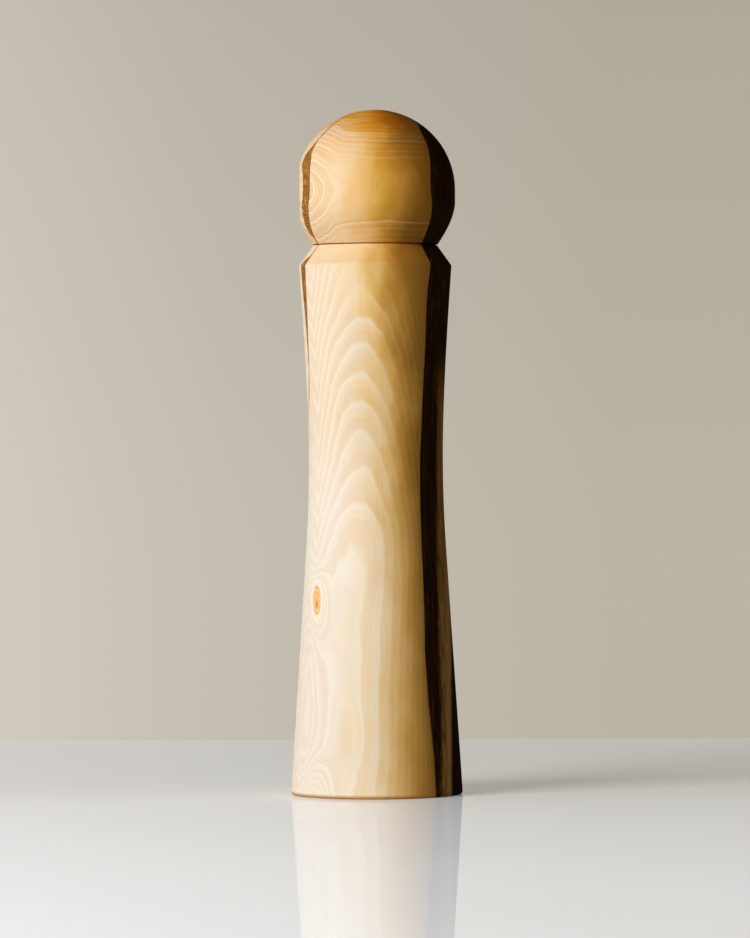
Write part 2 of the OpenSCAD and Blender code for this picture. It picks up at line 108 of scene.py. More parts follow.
def turned(outline, closed, steps):
    bm = bmesh.new()
    verts = [bm.verts.new((r, 0, z)) for r, z in outline]
    pairs = list(zip(verts, verts[1:]))
    if closed:
        pairs.append((verts[-1], verts[0]))
    edges = [bm.edges.new(pair) for pair in pairs]
    bmesh.ops.spin(bm, geom=verts + edges, cent=(0, 0, 0), axis=(0, 0, 1), angle=2 * math.pi,
                   steps=steps, use_merge=True)
    bmesh.ops.remove_doubles(bm, verts=bm.verts, dist=1e-6)
    bmesh.ops.recalc_face_normals(bm, faces=bm.faces)
    return bm


def easeRing(bm, radius, height, width, segments):
    # rounds the circular edge at this radius and height
    near = 0.02 * mm

    def onRing(vert):
        return abs(vert.co.xy.length - radius) < near and abs(vert.co.z - height) < near

    ring = [edge for edge in bm.edges if all(onRing(vert) for vert in edge.verts)]
    bmesh.ops.bevel(bm, geom=ring, offset=width, offset_type="OFFSET", segments=segments, profile=0.5,
                    affect="EDGES", material=-1, clamp_overlap=True)


def finished(bm, name, material, smoothAngle=35):
    mesh = bpy.data.meshes.new(name)
    for face in bm.faces:
        face.smooth = True
    bm.to_mesh(mesh)
    bm.free()
    mesh.set_sharp_from_angle(angle=math.radians(smoothAngle))
    piece = bpy.data.objects.new(name, mesh)
    bpy.context.scene.collection.objects.link(piece)
    mesh.materials.append(material)
    return piece


def taperOf(shape):
    # the height of the taper's knee, and the radius it loses for each metre of height
    kneeHeight = (shape["taperHeight"] + shape["waistHeight"]) / 2
    return kneeHeight, (shape["footRadius"] - shape["waistRadius"]) / kneeHeight


def turnedBody(material):
    s = bodyShape
    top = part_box("body")[1].z
    kneeHeight, slope = taperOf(s)
    taperEnd = (s["footRadius"] - slope * s["taperHeight"], s["taperHeight"])
    waist = (s["waistRadius"], s["waistHeight"])
    shoulder = (s["shoulderRadius"], s["shoulderHeight"])
    lip = (s["topRadius"], top)
    nearFoot = 4 * s["footEdge"]
    outline = [(s["recessRadius"], 0), (s["footRadius"], 0)]
    outline += linePoints((s["footRadius"] - slope * nearFoot, nearFoot), taperEnd, 10)[:-1]
    outline += curvePoints(taperEnd, (s["waistRadius"], kneeHeight), waist, 20)[:-1]
    outline += curvePoints(waist, (s["waistRadius"], s["flareHeight"]), shoulder, 40)
    outline += linePoints(shoulder, lip, 6)[1:]
    outline += [(s["mouthRadius"], top), (s["mouthRadius"], top - s["mouthDepth"]),
                (s["chamberRadius"], top - s["mouthDepth"]), (s["chamberRadius"], s["boreTop"]),
                (s["boreRadius"], s["boreTop"]), (s["boreRadius"], s["recessDepth"]),
                (s["recessRadius"], s["recessDepth"])]
    bm = turned(outline, True, s["turnSteps"])
    easeRing(bm, s["footRadius"], 0, s["footEdge"], 6)
    easeRing(bm, *shoulder, s["shoulderEdge"], 4)
    for radius, height in [lip, (s["mouthRadius"], top), (s["recessRadius"], 0)]:
        easeRing(bm, radius, height, s["edge"], 3)
    piece = finished(bm, "turnedBody", material)
    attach(piece, "casing")
    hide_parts("body")
    return piece


def turnedHead(material):
    s = headShape
    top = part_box("head")[1].z
    centre = top - s["ballRadius"]
    belt = (s["ballRadius"], centre - s["belt"])
    bottom = (s["bottomRadius"], s["seamHeight"])
    outline = arcPoints(centre, s["ballRadius"], math.pi / 2, 0, 60)
    outline[0] = (0, top)
    outline += linePoints((s["ballRadius"], centre), belt, 3)[1:]
    outline += curvePoints(belt, (s["ballRadius"], s["seamHeight"] + s["tuckHeight"]), bottom, 30)[1:]
    outline += [(s["spigotRadius"], s["seamHeight"]), (s["spigotRadius"], s["spigotBottom"]),
                (s["boreRadius"], s["spigotBottom"]), (s["boreRadius"], s["boreTop"]), (0, s["boreTop"])]
    bm = turned(outline, False, s["turnSteps"])
    easeRing(bm, *bottom, s["edge"], 3)
    easeRing(bm, s["spigotRadius"], s["spigotBottom"], s["edge"], 3)
    everything = bm.verts[:] + bm.edges[:] + bm.faces[:]
    cut = bmesh.ops.bisect_plane(bm, geom=everything, dist=1e-7, plane_co=(-s["flat"], 0, centre),
                                 plane_no=(-1, 0, 0), clear_outer=True)
    rim = [item for item in cut["geom_cut"] if isinstance(item, bmesh.types.BMEdge)]
    bmesh.ops.holes_fill(bm, edges=rim, sides=0)
    bmesh.ops.recalc_face_normals(bm, faces=bm.faces)
    piece = finished(bm, "turnedHead", material)
    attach(piece, "top")
    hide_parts("head")
    return piece


class Wire:
    # one value in a node tree: arithmetic on it adds Math nodes
    def __init__(self, tree, socket):
        self.tree = tree
        self.socket = socket

    def math(self, operation, *others):
        node = self.tree.nodes.new("ShaderNodeMath")
        node.operation = operation
        for inlet, value in zip(node.inputs, (self, *others)):
            feed(self.tree, inlet, value)
        return Wire(self.tree, node.outputs[0])

    def __add__(self, other): return self.math("ADD", other)
    def __radd__(self, other): return self.math("ADD", other)
    def __sub__(self, other): return self.math("SUBTRACT", other)
    def __rsub__(self, other): return (self * -1).math("ADD", other)
    def __mul__(self, other): return self.math("MULTIPLY", other)
    def __truediv__(self, other): return self.math("DIVIDE", other)

    def clamped(self):
        node = self.tree.nodes.new("ShaderNodeClamp")
        feed(self.tree, node.inputs[0], self)
        return Wire(self.tree, node.outputs[0])

    def ramp(self, low, high, smooth=True):
        # 0 at low, 1 at high
        node = self.tree.nodes.new("ShaderNodeMapRange")
        node.interpolation_type = "SMOOTHSTEP" if smooth else "LINEAR"
        for inlet, value in zip(node.inputs, (self, low, high, 0.0, 1.0)):
            feed(self.tree, inlet, value)
        return Wire(self.tree, node.outputs[0])

    def bump(self, centre, width):
        away = (self - centre) / width
        return (away * away * -1).math("EXPONENT")

    def along(self, points):
        # a smooth curve through (value, result) points
        lowX, highX = points[0][0], points[-1][0]
        lowY = min(y for x, y in points)
        highY = max(y for x, y in points)
        node = self.tree.nodes.new("ShaderNodeFloatCurve")
        feed(self.tree, node.inputs["Value"], self.ramp(lowX, highX, False))
        curve = node.mapping.curves[0]
        scaled = [((x - lowX) / (highX - lowX), (y - lowY) / (highY - lowY)) for x, y in points]
        curve.points[0].location = scaled[0]
        curve.points[1].location = scaled[-1]
        for place in scaled[1:-1]:
            curve.points.new(*place)
        node.mapping.update()
        return Wire(self.tree, node.outputs[0]) * (highY - lowY) + lowY


def feed(tree, inlet, value):
    if isinstance(value, Wire):
        tree.links.new(value.socket, inlet)
    elif value is not None:
        inlet.default_value = value


def combined(tree, x, y, z):
    node = tree.nodes.new("ShaderNodeCombineXYZ")
    for inlet, value in zip(node.inputs, (x, y, z)):
        feed(tree, inlet, value)
    return Wire(tree, node.outputs[0])


def separated(tree, vector):
    node = tree.nodes.new("ShaderNodeSeparateXYZ")
    feed(tree, node.inputs[0], vector)
    return [Wire(tree, outlet) for outlet in node.outputs]


def noise(tree, vector, scale, detail, roughness):
    node = tree.nodes.new("ShaderNodeTexNoise")
    feed(tree, node.inputs["Vector"], vector)
    feed(tree, node.inputs["Scale"], scale)
    feed(tree, node.inputs["Detail"], detail)
    feed(tree, node.inputs["Roughness"], roughness)
    return Wire(tree, node.outputs[0])


def colourMix(tree, factor, first, second, blend="MIX"):
    node = tree.nodes.new("ShaderNodeMix")
    node.data_type = "RGBA"
    node.blend_type = blend
    feed(tree, node.inputs[0], factor)
    feed(tree, node.inputs[6], (*first, 1) if isinstance(first, tuple) else first)
    feed(tree, node.inputs[7], (*second, 1) if isinstance(second, tuple) else second)
    return Wire(tree, node.outputs[2])


def linear(red, green, blue):
    # a colour given as 0-255 screen values
    return tuple(c / 255 / 12.92 if c / 255 <= 0.04045 else ((c / 255 + 0.055) / 1.055) ** 2.4
                 for c in (red, green, blue))


def newGroup(name, inputs, outputs):
    tree = bpy.data.node_groups.new(name, "ShaderNodeTree")
    kinds = {"value": "NodeSocketFloat", "colour": "NodeSocketColor", "vector": "NodeSocketVector"}
    for label, kind in inputs:
        tree.interface.new_socket(name=label, in_out="INPUT", socket_type=kinds[kind])
    for label, kind in outputs:
        tree.interface.new_socket(name=label, in_out="OUTPUT", socket_type=kinds[kind])
    entry = tree.nodes.new("NodeGroupInput")
    groupEnd = tree.nodes.new("NodeGroupOutput")
    wires = {outlet.name: Wire(tree, outlet) for outlet in entry.outputs if outlet.name}
    return tree, wires, groupEnd


def placed(tree, group, **values):
    node = tree.nodes.new("ShaderNodeGroup")
    node.node_tree = group
    for name, value in values.items():
        feed(tree, node.inputs[name], value)
    return {outlet.name: Wire(tree, outlet) for outlet in node.outputs}


def newMaterial(name):
    # a material with its place on the piece in millimetres
    material = bpy.data.materials.new(name)
    material.use_nodes = True
    tree = material.node_tree
    shader = tree.nodes["Principled BSDF"]
    coordinates = tree.nodes.new("ShaderNodeTexCoord")
    scaled = tree.nodes.new("ShaderNodeVectorMath")
    scaled.operation = "SCALE"
    tree.links.new(coordinates.outputs["Object"], scaled.inputs[0])
    scaled.inputs["Scale"].default_value = 1 / mm
    return material, tree, shader, Wire(tree, scaled.outputs[0])


def setBump(tree, shader, height, strength, distance):
    node = tree.nodes.new("ShaderNodeBump")
    node.inputs["Strength"].default_value = strength
    node.inputs["Distance"].default_value = distance
    feed(tree, node.inputs["Height"], height)
    tree.links.new(node.outputs[0], shader.inputs["Normal"])


woodNoise = {
    # squeeze across and along the wood, then scale, detail and roughness
    "broadFibre": (1, 0.03, 0.55, 3.0, 0.6),
    "fineFibre": (1, 0.05, 3.2, 3.0, 0.65),
    "pores": (1, 0.12, 5.0, 2.0, 0.5),
    "wander": (1, 0.35, 0.1, 2.0, 0.5),
    "ripple": (1, 0.5, 0.35, 2.0, 0.5),
    "cloud": (1, 0.55, 0.075, 2.0, 0.55),
    "layers": (0.06, 1, 1.1, 3.0, 0.6),
    "vein": (1, 0.015, 1.6, 3.0, 0.6),
    "jag": (1, 0.5, 1.4, 3.0, 0.6),
    "rough": (2.2, 0.35, 1.3, 4.0, 0.7),
}


def grainNoise(tree, x, y, z, kind):
    across, along, scale, detail, roughness = woodNoise[kind]
    return noise(tree, combined(tree, x * across, y * across, z * along), scale, detail, roughness)


def fibreGroup():
    # fine streaks that run up the wood, and its short open pores
    tree, wires, groupEnd = newGroup("woodFibres", [("Place", "vector")],
                                     [("Streak", "value"), ("Pores", "value")])
    x, y, z = separated(tree, wires["Place"])
    streaks = grainNoise(tree, x, y, z, "broadFibre") * 0.5 + grainNoise(tree, x, y, z, "fineFibre") * 0.5
    feed(tree, groupEnd.inputs["Streak"], streaks)
    feed(tree, groupEnd.inputs["Pores"], grainNoise(tree, x, y, z, "pores").ramp(0.62, 0.75))
    return tree


def ringGroup():
    # one growth ring: pale just after the boundary, then slowly deeper up to the next one
    tree, wires, groupEnd = newGroup("growthRing", [("Rings", "value"), ("Line", "value")],
                                     [("Deep", "value"), ("Pale", "value"), ("Fine", "value")])
    part = wires["Rings"].math("FRACT")
    deep = part.ramp(0.2, 0.8) * (1 - part.ramp(0.82, 1.0))
    thirds = (wires["Rings"] * 3.0).math("FRACT")
    pale = part.ramp(wires["Line"] * -0.5 + 1.0, 1.0) + (1 - part.ramp(0.0, wires["Line"]))
    feed(tree, groupEnd.inputs["Deep"], deep)
    feed(tree, groupEnd.inputs["Pale"], pale.clamped())
    feed(tree, groupEnd.inputs["Fine"], thirds.ramp(0.1, 0.75) * (1 - thirds.ramp(0.8, 1.0)))
    return tree


def finishGroup():
    # slow cloudiness and fine grain for the metal and moulded parts
    tree, wires, groupEnd = newGroup("surfaceGrain", [("Place", "vector"), ("Size", "value")],
                                     [("Cloud", "value"), ("Grain", "value")])
    feed(tree, groupEnd.inputs["Cloud"], noise(tree, wires["Place"], wires["Size"] * 0.15, 3.0, 0.6))
    feed(tree, groupEnd.inputs["Grain"], noise(tree, wires["Place"], wires["Size"], 2.0, 0.5))
    return tree


fibres = fibreGroup()
growthRing = ringGroup()
surfaceGrain = finishGroup()
print("effects made")

woodColours = {
    # colours of the wood with painted shade that deepens them towards the right, by the number of degrees to
    # the right of where they turn gold
    "bodyTonesAndShade": [(-60, linear(237, 220, 197)), (-24, linear(237, 218, 190)), (-16, linear(239, 217, 184)),
                  (-8, linear(241, 216, 174)), (0, linear(241, 208, 151)), (8.5, linear(234, 192, 119)),
                  (17, linear(220, 169, 87)), (27, linear(196, 145, 62)), (38, linear(172, 121, 43))],
    "headTonesAndShade": [(-60, linear(236, 211, 177)), (-8, linear(236, 207, 166)), (-1.5, linear(236, 203, 156)),
                  (6, linear(236, 195, 132)), (13, linear(232, 185, 105)), (21, linear(225, 172, 78)),
                  (29, linear(216, 160, 63)), (38, linear(194, 138, 50)), (52, linear(162, 110, 34))],
    "palest": linear(239, 229, 215),
    "warmPale": linear(249, 229, 196),
    "paleRing": linear(250, 241, 224),
    "deepRing": linear(228, 190, 136),
    # end grain, deepened by painted shade on faces turned upwards
    "endGrainAndShade": linear(238, 190, 70),
    "amberLine": linear(172, 116, 42),
    "heartwood": linear(40, 22, 9),
    "heartStreak": linear(96, 60, 27),
    "heartBrown": linear(184, 130, 62),
    "sapStripe": linear(196, 156, 100),
    "jointLine": linear(132, 78, 24),
    "roughBark": linear(128, 80, 26),
    "roughFibre": linear(220, 166, 90),
    "knot": linear(246, 198, 130),
    "knotLine": linear(226, 150, 62),
    "knotHeart": linear(206, 116, 28),
    # painted shade of the foot's rounded edge
    "footRimShade": linear(196, 138, 52),
}

bodyWood = {
    # azimuth (degrees from the front, to the right) of the heartwood's edge, by height (mm)
    "heartEdge": [(0, 41.5), (11.7, 41.4), (19.7, 40.8), (29.8, 39.4), (40.7, 38.6), (52.6, 38.5),
                  (65, 39.4), (97, 39.9), (119, 40.4), (133, 41.6), (151, 42.8), (163, 43.6), (176, 43.4),
                  (190, 45.2), (201, 46.8)],
    "softFoot": (20, 60),         # heights over which that edge sharpens
    "softMore": 1.6,              # how much softer it is at the foot
    # streaks in the heartwood: where each lies by x, and the heights over which it ends
    "brownFrom": (21.4, 23.2),
    "brownEnds": (132, 165),
    "brownLeans": (28, 88),       # towards the foot it lies further out, by this much
    "brownLean": 1.2,
    "brownPatches": (0.36, 0.6),
    "brownLeast": 0.25,
    "stripeAt": (26.0, 0.8),
    "stripe": 0.6,
    "stripeEnds": (70, 100),
    "outerFrom": (27.0, 27.5),
    "outerEnds": (60, 80),
    # azimuth where cream has turned to gold (partly painted shade), by height
    "goldAt": [(0, 8.5), (25, 8), (67, 8.6), (105, 5.6), (140, 3.2), (170, -2.6), (190, -10.5),
               (201, -10.5)],
    # azimuth of the glued joint's left and right edge
    "jointLeft": [(0, -90), (136, -82), (148, -75), (158, -72.5), (168, -73), (180, -75.0), (186, -76),
                  (193, -76), (197, -67.2), (201, -66.4)],
    "jointRight": [(0, -89), (136, -80.5), (148, -73.2), (158, -70.8), (168, -69.6), (180, -67.5),
                   (186, -67), (193, -65.5), (197, -65.2), (201, -65)],
    "jointFrom": (128, 140),      # heights over which the joint comes out
    # end grain on the shoulder's cone, with painted shade where it faces up, by height
    "endGrainAndShade": [(0, 0), (189, 0), (193, 0.05), (193.6, 0.2), (201, 0.22)],
    "palestEnds": (100, 142),     # heights and tones over which the palest wood gives way
    "palestTones": (-16, 6),
    "palestTurns": (-44, -16),    # tones over which it turns warm
    "palestBehind": 0.7,
    "footRimShade": (0.5, 1.7),        # heights over which the painted shade on the foot's rounded edge ends
    "footRimShadeDepth": 0.85,
    "wander": 0.8,                # rings that the grain strays by, slowly and quickly
    "ripple": 0.2,
    "lineWidth": 0.4,             # share of a ring that its pale line takes
    "paleRings": 0.3,
    "fineRings": 0.08,
    "ringWidth": 1.7,
    "coneFrom": (192.6, 193.6),   # heights over which the shoulder's cone begins
    "coneSlant": 0.6,
    "coneRings": 1.25,            # rings for each millimetre up the cone
    # rings met on the way down the front of the mill
    "ringsDown": [(0, 7.95), (20, 8.05), (50, 8.2), (65, 8.25), (80, 8.2), (94.8, 7.9), (106.4, 6.9),
                  (118.8, 5.9), (133, 4.9), (144.2, 3.9), (154.6, 2.9), (165, 1.9), (174, 0.9),
                  (193, -0.8), (201, -1.4)],
    # how plainly the rings show, by degrees from the front
    "ringShow": [(-90, 0.7), (-55, 0.8), (-15, 1.0), (-6, 0.85), (3, 0.5), (14, 0.2), (40, 0.12),
                 (90, 0.4)],
    "smokyHeights": (174, 185),   # the rings fade under the shoulder
    "smokySides": (-44, -18),
    "smoky": 0.8,
    "backRings": 0.5,
    # sine of the azimuth that the ring planes face
    "ringTurn": [(0, -0.36), (60, -0.34), (100, -0.27), (140, -0.23), (201, -0.2)],
    # extra rings on the far left, where the grain bends round the branch
    "branchSide": [(-180, 4), (-110, 8), (-76, 5.4), (-66, 2.3), (-60, 0.7), (-56, 0), (-20, 0), (180, 0)],
    # x, height, half width, half height and rings of each local swelling
    "swellings": [(-21.7, 71, 3.2, 9.5, 4.5), (-22.5, 66, 6.5, 24, 2.2), (-24.0, -3, 6.5, 15, 7.5),
                  (-15.0, 22, 12, 14, 0.6)],
    # x, height, half width and half height
    "knot": (-21.6, 71.4, 1.6, 6.1),
    "pith": (-21.6, 70.0, 0.45, 1.5),
}

headWood = {
    "heartEdge": [(200, 47), (203, 47), (206, 46.5), (210, 46), (216, 44.3), (222, 43.2), (227, 44.3),
                  (231, 46.4), (235, 48.6), (240.9, 52.5), (244.7, 66), (250, 80)],
    "goldAt": [(200, -20), (210, -19), (222, -17.5), (234, -17), (240, -17), (250, -17)],
    "jointLeft": [(200, -66.3), (203, -67), (205.4, -70.6), (209.8, -68.7), (214, -66), (221, -63.4),
                  (227, -66.8), (231.7, -72), (235, -68.4), (238, -63.8), (241, -61.8), (250, -59.6)],
    "jointRight": [(200, -64.4), (203, -63.8), (205.4, -62.4), (209.8, -59.1), (214, -56), (221, -53.7),
                   (227, -55.4), (231.7, -58.1), (235, -61.2), (238, -61.4), (241, -59.4), (250, -56.9)],
    "wander": 0.6,
    "ripple": 0.12,
    "lineWidth": 0.24,
    "paleRings": 0.22,
    "fineRings": 0.2,
    "centre": 219.6,
    # distance (mm) from the middle of the left figure, by azimuth
    "figure": [(-180, 13.3), (-110, 13.3), (-84, 11), (-66, 6.5), (-56, 5), (-50, 6.2), (-39, 9),
               (-29.5, 12), (-20, 12.8), (0, 13.3), (44, 13.3), (80, 12.6), (120, 12.8), (180, 13.3)],
    "ringShow": [(-90, 1.0), (-20, 1.0), (0, 0.9), (40, 0.6), (90, 0.6)],
    # rings against that distance
    "rings": [(0, -1.2), (3, 0), (6.2, 1), (9, 2), (12, 3), (14, 3.4), (16, 3.6), (17.6, 4), (19.2, 5),
              (20.7, 6), (22.2, 7), (23.6, 8), (28, 12.6), (36, 20)],
    # two rings that show plainly all round: distance and width, and heights
    "upperRing": (22.3, 0.9),
    "upperRingFrom": (228, 232),
    "lowerRing": (17.4, 0.9),
    "lowerRingTo": (206, 214),
    "plainRings": 0.8,
    "faintRings": 0.35,
    "strongSides": (-50, -26),    # the rings are strongest left of here
    # distances over which the end grain and the painted shade of the upward faces come out: at once, slowly,
    # and near the middle
    "endFrom": (24.5, 25.1),
    "endDeepens": (24.5, 29.5),
    "endFaint": (16.2, 19),
    "endStrengths": (0.4, 0.32, 0.12),
    "endRise": 4,                 # height over which the first two come in above the centre
}

woodLook = {
    # shared by body and head; tones are in degrees, as in the colours
    "heartReach": 100,            # how far round the heartwood goes
    "heartSoft": 0.6,             # how softly it begins
    "heartStray": 1.2,
    "behind": (0, 14),            # depth (mm) over which the look of the back comes in
    "streakTone": 14,
    "cloudTone": (24, 50),        # near the foot, and above
    "cloudHeights": (95, 130),
    "ringTone": 3.5,
    "deepRings": 0.17,
    "fibreShade": 0.12,
    "cloudShade": 0.08,
    "amber": 0.4,                 # the line beside the heartwood: strength, place and width
    "amberAt": -0.8,
    "amberWidth": (0.2, 1.6),
    "veins": 0.6,
    "veinPatches": (0.5, 0.72),
    "pores": 0.5,
    # glued joint, in degrees: its edge, the widths at which it opens, and its shaded side
    "jointEdge": (-0.25, 0.35),
    "jointOpens": (1.6, 4.0),
    "jointShade": (0.2, 1.5),
    "jointPatches": (0.5, 0.62),
    "roughness": 0.5,
    "roughStreaks": 0.12,
    "roughJoint": 0.3,
    "bump": 0.3,
    "bumpDepth": 0.12 * mm,
    "coat": 0.07,
    "heartCoat": 0.02,
    "coatRoughness": 0.4,
}


def azimuthOf(tree, x, y):
    # degrees from the front, positive to the right
    node = tree.nodes.new("ShaderNodeMath")
    node.operation = "ARCTAN2"
    feed(tree, node.inputs[0], x)
    feed(tree, node.inputs[1], y * -1)
    return Wire(tree, node.outputs[0]) * (180 / math.pi)


def ovalDistance(x, z, oval):
    across = (x - oval[0]) / oval[2]
    up = (z - oval[1]) / oval[3]
    return (across * across + up * up).math("SQRT")


def frontOnly(y):
    return 1 - y.ramp(-4, 4)


def turnedRadius(height):
    # the body's radius at this height, both in millimetres
    s = bodyShape
    h = height * mm
    kneeHeight, slope = taperOf(s)
    if h < s["taperHeight"]:
        return (s["footRadius"] - slope * h) / mm
    if h < s["waistHeight"]:
        bend = slope / (4 * (s["waistHeight"] - kneeHeight))
        return (s["waistRadius"] + bend * (s["waistHeight"] - h) ** 2) / mm
    rise = (h - s["waistHeight"]) / (s["shoulderHeight"] - s["waistHeight"])
    return (s["waistRadius"] + (s["shoulderRadius"] - s["waistRadius"]) * rise ** s["flareBend"]) / mm


def bodyRings(x, y, z, azimuth):
    # the number of growth rings passed on the way to a point
    wood = bodyWood
    turn = z.along(wood["ringTurn"])
    facing = (1 - turn * turn).math("SQRT")
    depth = (y * facing * -1 + x * turn) * (1 - z.ramp(*wood["coneFrom"]) * wood["coneSlant"])
    shift = [(height, rings - turnedRadius(height) / wood["ringWidth"]) for height, rings in wood["ringsDown"]]
    count = depth / wood["ringWidth"] + z.along(shift) + azimuth.along(wood["branchSide"])
    upCone = (z - bodyShape["shoulderHeight"] / mm).math("MAXIMUM", 0.0)
    count = count + upCone * wood["coneRings"]
    for oval in wood["swellings"]:
        count = count + ovalDistance(x, z, oval).bump(0.0, 1.0) * oval[4] * frontOnly(y)
    return count


def headDistance(z, azimuth):
    # millimetres from the middle of the oval figure
    up = z - headWood["centre"]
    across = azimuth.along(headWood["figure"])
    return (across * across + up * up).math("SQRT")


def toneRamp(tree, value, stops):
    # a colour for each value, through (value, colour) stops
    low, high = stops[0][0], stops[-1][0]
    node = tree.nodes.new("ShaderNodeValToRGB")
    feed(tree, node.inputs[0], value.ramp(low, high, False))
    elements = node.color_ramp.elements
    elements[0].position, elements[0].color = 0, (*stops[0][1], 1)
    elements[1].position, elements[1].color = 1, (*stops[-1][1], 1)
    for at, colour in stops[1:-1]:
        elements.new((at - low) / (high - low)).color = (*colour, 1)
    return Wire(tree, node.outputs[0])


knotLook = {
    # distances in the knot's own half width
    "edge": (0.72, 1.05),
    "pithEdge": (0.5, 1.2),
    "haloAt": 1.12,
    "haloWidth": 0.22,
    "halo": 0.6,
    "lines": 3.2,                 # rings of its own, and where the first begins
    "firstLine": 0.25,
    "lineEdge": (0.35, 0.8),
    "line": 0.8,
    "strength": 0.9,
}


def withKnot(tree, colour, x, y, z, streak):
    look, wood, colours = knotLook, bodyWood, woodColours
    away = ovalDistance(x + streak * 0.4, z, wood["knot"])
    halo = 1 - (away - look["haloAt"]).math("ABSOLUTE").ramp(0.0, look["haloWidth"])
    colour = colourMix(tree, halo * frontOnly(y) * look["halo"], colour, colours["paleRing"])
    lines = (away * look["lines"] + look["firstLine"]).math("FRACT").ramp(*look["lineEdge"])
    knotColour = colourMix(tree, lines * look["line"], colours["knot"], colours["knotLine"])
    pith = 1 - ovalDistance(x, z, wood["pith"]).ramp(*look["pithEdge"])
    knotColour = colourMix(tree, pith * look["strength"], knotColour, colours["knotHeart"])
    inKnot = (1 - away.ramp(*look["edge"])) * frontOnly(y)
    return colourMix(tree, inKnot * look["strength"], colour, knotColour)


def heartFigure(tree, heartColour, x, z, streak, vein):
    # brown and pale streaks that run up the body's heartwood
    wood, colours = bodyWood, woodColours
    lean = 1 - z.ramp(*wood["brownLeans"])
    brown = (x + streak * 4.0 - lean * wood["brownLean"]).ramp(*wood["brownFrom"])
    brown = brown * (1 - z.ramp(*wood["brownEnds"]))
    least = wood["brownLeast"]
    brown = brown * (vein.ramp(*wood["brownPatches"]) * (1 - least) + least)
    heartColour = colourMix(tree, brown, heartColour, colours["heartBrown"])
    stripe = (x + streak * 2.0).bump(*wood["stripeAt"]) * (1 - z.ramp(*wood["stripeEnds"]))
    heartColour = colourMix(tree, stripe * wood["stripe"], heartColour, colours["sapStripe"])
    outer = x.ramp(*wood["outerFrom"]) * (1 - z.ramp(*wood["outerEnds"]))
    return colourMix(tree, outer, heartColour, colours["heartwood"])


